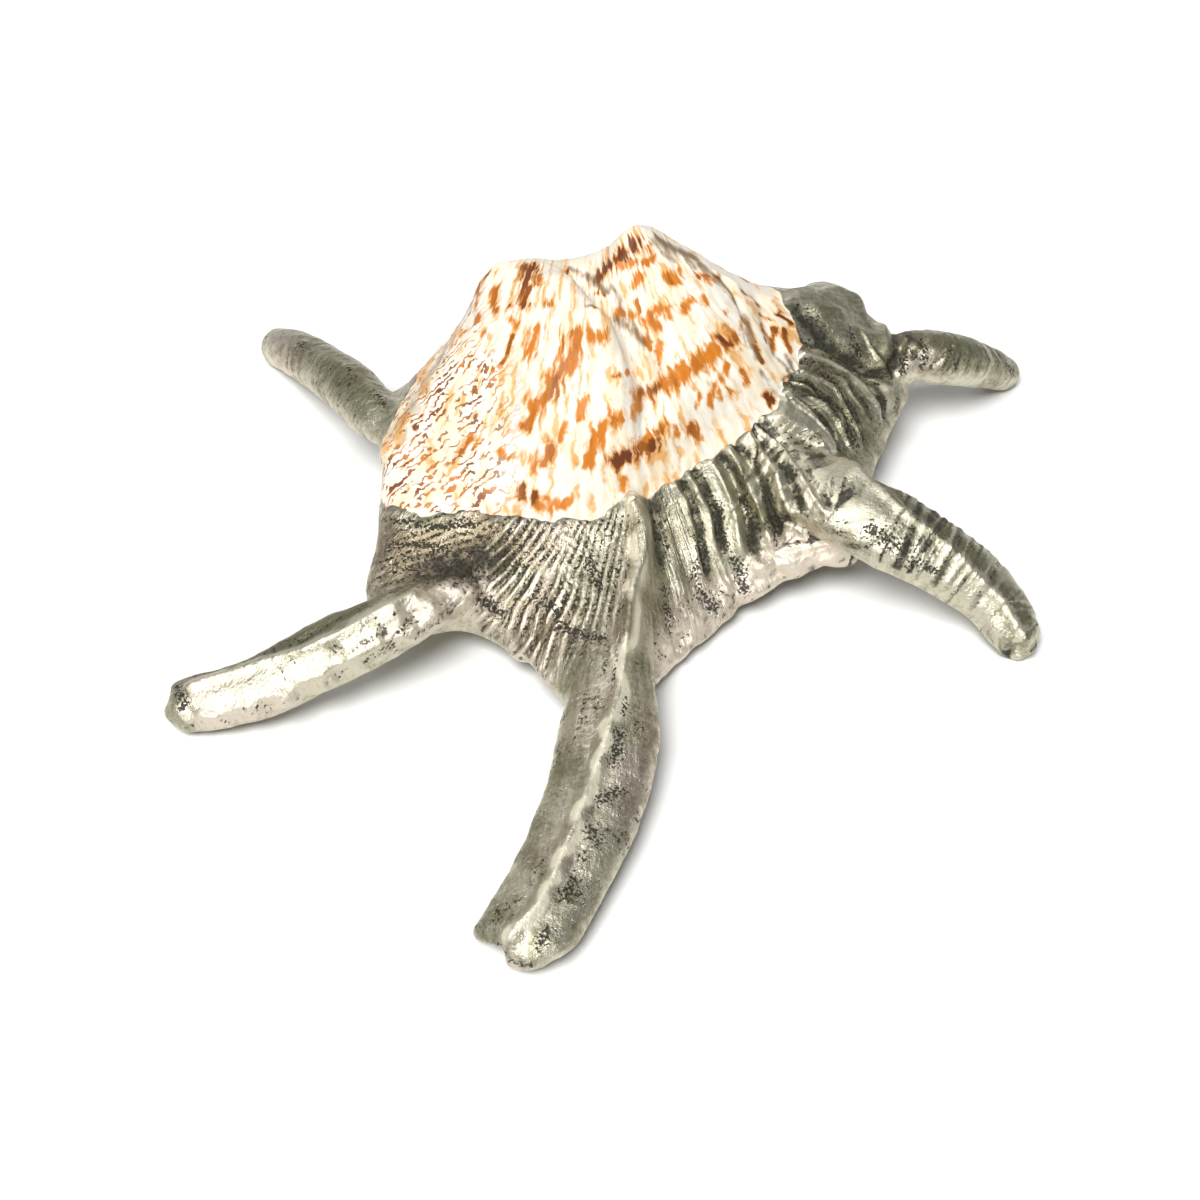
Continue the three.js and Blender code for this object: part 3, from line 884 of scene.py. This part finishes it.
torn = maths("ADD", marks[0], maths("MULTIPLY", maths("SUBTRACT", torn_streak, 0.5), 2.2))
torn = maths("ADD", torn, maths("MULTIPLY", maths("SUBTRACT", dash_streak, 0.5), 1.0))
halo = ramp(torn, 0.22, 0.66)
mark = ramp(torn, 0.46, 0.84)
tone = maths("ADD", marks[1], maths("MULTIPLY", maths("SUBTRACT", broad_streak, 0.5), 1.4))
mark_colour = blend(maths("MULTIPLY", ramp(tone, 0.3, 0.95), ramp(torn, 0.45, 0.9)), ORANGE, BROWN)
ground = blend(ramp(maths("ADD", torn_streak, broad_streak), 0.85, 1.2), IVORY, CREAM)
dashes = maths("ADD", dash_streak, maths("MULTIPLY", broad_streak, 0.6))
ground = blend(maths("MULTIPLY", ramp(dashes, 0.82, 0.94), 0.55), ground, PEACH)
ground = blend(maths("MULTIPLY", ramp(dashes, 0.89, 0.99), 0.7), ground, APRICOT)
ground = blend(maths("MULTIPLY", halo, 0.75), ground, APRICOT)
tilted = node("Mapping")
tree.links.new(spot, tilted.inputs["Vector"])
tilted.inputs["Rotation"].default_value = (0, 0, radians(-24))
ripple = node("TexWave", wave_type="BANDS", bands_direction="Y")
tree.links.new(tilted.outputs[0], ripple.inputs["Vector"])
ripple.inputs["Scale"].default_value = 165
ripple.inputs["Distortion"].default_value = 8
ripple.inputs["Detail"].default_value = 2
ripple.inputs["Detail Scale"].default_value = 2.6
broken = ramp(speckle(spot, 300, 1), 0.42, 0.52)
flecks = maths("MULTIPLY", ramp(ripple.outputs["Fac"], 0.58, 0.78), broken)
flecks = maths("MULTIPLY", flecks, marks[2])
fleck_colour = blend(ramp(speckle(spot, 120), 0.4, 0.6), TAN, RUST)
shell_colour = blend(mark, ground, mark_colour)
shell_colour = blend(flecks, shell_colour, fleck_colour)
# vein colour: real grey-brown lines and painted shade together
vein_and_shade = maths("ADD", veins_and_shade, maths("MULTIPLY", maths("SUBTRACT", torn_streak, 0.5), 1.2))
vein_and_shade = maths("MULTIPLY", ramp(vein_and_shade, 0.1, 0.95), ramp(veins_and_shade, 0.03, 0.3))
shell_colour = blend(maths("MULTIPLY", vein_and_shade, 0.9), shell_colour, VEIN_AND_SHADE_BROWN)

SILVER = (0.70, 0.66, 0.52, 1)
ROSE = (0.77, 0.69, 0.575, 1)
PALE = (0.88, 0.83, 0.64, 1)
OLIVE = (0.29, 0.275, 0.175, 1)
UMBER = (0.32, 0.265, 0.175, 1)
PATINA = (0.020, 0.018, 0.014, 1)
growth = node("Attribute", attribute_name="growth").outputs["Vector"]
soot_and_hole_shade = node("Attribute", attribute_name="soot_and_hole_shade").outputs["Fac"]
fine_grain = speckle(spot, 900, 4, 0.7)
middle_grain = speckle(spot, 240, 3, 0.6)
tarnish = speckle(spot, 60, 3, 0.5)
rings = speckle(stretched(digit, (0.75, 0.09, 0)), 1.0, 4, 0.65)
long_lines = speckle(stretched(growth, (0.9, 0.06, 1)), 1.0, 3, 0.6)
lines = node("Mix", ringed, data_type="FLOAT")
tree.links.new(long_lines, lines.inputs[2])
tree.links.new(rings, lines.inputs[3])
lines = lines.outputs[0]
clusters = ramp(speckle(spot, 80, 2), 0.42, 0.56)
row_shift = node("Mapping")
tree.links.new(cords, row_shift.inputs["Vector"])
row_shift.inputs["Location"].default_value = (0.5, 0, 0)
groove = maths("PINGPONG", node("SeparateXYZ", row_shift.outputs[0]).outputs[0], 0.5)
row_pits = maths("MULTIPLY", ramp(groove, 0.22, 0.10), clusters)
row_pits = maths("MULTIPLY", row_pits, ramp(speckle(spot, 1150, 1.5), 0.50, 0.60))
row_pits = maths("MULTIPLY", row_pits, ramp(cord_parts[2], 0.2, 0.6))
sunk = maths("ADD", ramp(ridge, 0.2, -0.6), maths("MULTIPLY", clusters, 0.3))
sunk = maths("ADD", sunk, maths("MULTIPLY", rosy, 0.12))
sunk = maths("SUBTRACT", sunk, maths("MULTIPLY", maths("MAXIMUM", painted_light_and_shade, -0.2), 0.3))
odd_pits = ramp(speckle(spot, 1250, 1.5), 0.56, 0.64)
odd_pits = maths("MULTIPLY", odd_pits, ramp(maths("ADD", sunk, speckle(spot, 190, 2)), 0.95, 1.2))
pits_and_hole_shade = maths("MAXIMUM", row_pits, odd_pits)
hollow = maths("MULTIPLY", ramp(ridge, -0.05, -0.6), ramp(middle_grain, 0.34, 0.54, 0.35, 1.0))
# the soot strokes, with the painted shadow of the broken end's mouth, turn black as pits
sooty_and_hole_shade = maths("ADD", soot_and_hole_shade, maths("MULTIPLY", maths("SUBTRACT", speckle(spot, 1500, 1.5), 0.5), 2.8))
pits_and_hole_shade = maths("MAXIMUM", pits_and_hole_shade, maths("MULTIPLY", ramp(sooty_and_hole_shade, 0.62, 1.0), ramp(soot_and_hole_shade, 0.05, 0.3)))
slits = maths("MULTIPLY", ramp(rings, 0.57, 0.66), maths("MULTIPLY", ringed, ramp(tarnish, 0.38, 0.55)))
lodged = maths("MULTIPLY", ramp(edge, 2.0, 0.3), ramp(speckle(spot, 220, 3), 0.45, 0.6))
grime_and_hole_shade = maths("MAXIMUM", maths("MULTIPLY", hollow, 0.88), maths("MULTIPLY", pits_and_hole_shade, 0.95))
grime_and_hole_shade = maths("MAXIMUM", grime_and_hole_shade, maths("MULTIPLY", lodged, 0.7))
grime_and_hole_shade = maths("MAXIMUM", grime_and_hole_shade, maths("MULTIPLY", slits, 0.7))
tarnish_and_painted_light = maths("ADD", maths("MULTIPLY", fine_grain, 0.45), maths("MULTIPLY", middle_grain, 0.3))
tarnish_and_painted_light = maths("ADD", tarnish_and_painted_light, maths("MULTIPLY", tarnish, 0.35))
tarnish_and_painted_light = maths("ADD", tarnish_and_painted_light, maths("MULTIPLY", lines, 0.45))
tarnish_and_painted_light = maths("SUBTRACT", tarnish_and_painted_light, maths("MULTIPLY", ridge, 0.2))
tarnish_and_painted_light = maths("SUBTRACT", tarnish_and_painted_light, ramp(ridge, 0.3, 0.8, 0.0, 0.3))
tarnish_and_painted_light = maths("SUBTRACT", tarnish_and_painted_light, maths("MULTIPLY", rosy, 0.15))
# painted light and shade: positive strokes lighten the silver, negative ones darken it towards the dull
# colour
tarnish_and_painted_light = maths("SUBTRACT", tarnish_and_painted_light, maths("MULTIPLY", painted_light_and_shade, 0.15))
tint = maths("ADD", speckle(spot, 45, 2), maths("MULTIPLY", rosy, 0.25))
tint = ramp(maths("ADD", tint, maths("MULTIPLY", cord_parts[2], 0.12)), 0.50, 0.68)
bright = blend(tint, SILVER, ROSE)
# painted highlight: the silver turns pale where the painted light is positive
bright = blend(maths("MULTIPLY", ramp(painted_light_and_shade, 0.5, 1.4), 0.8), bright, PALE)
dull = blend(tint, OLIVE, UMBER)
silver_colour = blend(ramp(tarnish_and_painted_light, 0.62, 0.96), bright, dull)
silver_colour = blend(grime_and_hole_shade, silver_colour, PATINA)

is_silver = ramp(edge, -0.15, 0.15)
colour = blend(is_silver, shell_colour, silver_colour)
shine = node("BsdfPrincipled")
tree.links.new(colour, shine.inputs["Base Color"])
clean = maths("SUBTRACT", 1.0, maths("MULTIPLY", grime_and_hole_shade, 0.85))
# where the painted highlights are strongest the silver turns satin
patchy = maths("ADD", painted_light_and_shade, maths("MULTIPLY", maths("SUBTRACT", middle_grain, 0.5), 2.4))
satin = maths("ADD", ramp(patchy, 0.8, 1.8, 0.0, 0.55), maths("MULTIPLY", rosy, 0.24), clamp=True)
metal = maths("MULTIPLY", clean, maths("SUBTRACT", 1.0, satin))
tree.links.new(maths("MULTIPLY", is_silver, metal), shine.inputs["Metallic"])
shine.inputs["Specular IOR Level"].default_value = 0.25
silver_rough = maths("ADD", ramp(middle_grain, 0.3, 0.7, 0.37, 0.52), maths("MULTIPLY", rosy, 0.1))
rough = node("Mix", is_silver, data_type="FLOAT")
rough.inputs[2].default_value = 0.45
tree.links.new(silver_rough, rough.inputs[3])
tree.links.new(rough.outputs[0], shine.inputs["Roughness"])
grain = maths("ADD", maths("MULTIPLY", fine_grain, 0.7), maths("MULTIPLY", pits_and_hole_shade, -0.8))
grain = maths("ADD", grain, maths("MULTIPLY", lines, 0.8))
grain = maths("ADD", grain, maths("MULTIPLY", maths("MULTIPLY", middle_grain, rosy), 1.0))
shell_grain = maths("MULTIPLY", torn_streak, 0.35)
height_mix = node("Mix", is_silver, data_type="FLOAT")
tree.links.new(shell_grain, height_mix.inputs[2])
tree.links.new(grain, height_mix.inputs[3])
bump = node("Bump")
bump.inputs["Strength"].default_value = 0.8
bump.inputs["Distance"].default_value = 0.0006
tree.links.new(height_mix.outputs[0], bump.inputs["Height"])
tree.links.new(bump.outputs[0], shine.inputs["Normal"])
surface = node("OutputMaterial")
tree.links.new(shine.outputs[0], surface.inputs["Surface"])
shell.data.materials.append(plated)

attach(shell, "root")
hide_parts("conch_shell")

# Floor: one large sheet of pale matt card, on which the shell lies for the picture. It isn't part of
# the object.
bpy.ops.object.select_all(action="DESELECT")
bpy.ops.mesh.primitive_plane_add(size=8, location=(0, 0, 0))
floor = bpy.context.object
floor.name = "pale_floor"
card = bpy.data.materials.new("pale_card")
card.use_nodes = True
card.node_tree.nodes["Principled BSDF"].inputs["Base Color"].default_value = (0.9, 0.9, 0.89, 1)
card.node_tree.nodes["Principled BSDF"].inputs["Roughness"].default_value = 0.85
floor.data.materials.append(card)

# Light: a dim room that the camera sees as white, a broad lamp high at the left front and a weak broad
# one from behind.
world = bpy.data.worlds.new("studio")
world.use_nodes = True
air = world.node_tree
backdrop = air.nodes["Background"]
backdrop.inputs["Color"].default_value = (0.95, 0.97, 1.0, 1)
seen = air.nodes.new("ShaderNodeLightPath")
amount = air.nodes.new("ShaderNodeMapRange")
air.links.new(seen.outputs["Is Camera Ray"], amount.inputs["Value"])
amount.inputs["To Min"].default_value = 0.165
amount.inputs["To Max"].default_value = 1.0
air.links.new(amount.outputs["Result"], backdrop.inputs["Strength"])
bpy.context.scene.world = world
for name, place, turn, breadth, strength in (
    ("front_top", (-0.28, -0.80, 1.35), (radians(30), radians(-12), 0), radians(28), 3.6),
    ("back_card", (-0.10, 0.95, 1.05), (radians(-43), radians(-4), 0), radians(52), 0.55),
):
    bpy.ops.object.light_add(type="SUN", location=place, rotation=turn)
    lamp = bpy.context.object
    lamp.name = name + "_light"
    lamp.data.angle = breadth
    lamp.data.energy = strength
bpy.context.scene.view_settings.view_transform = "Standard"
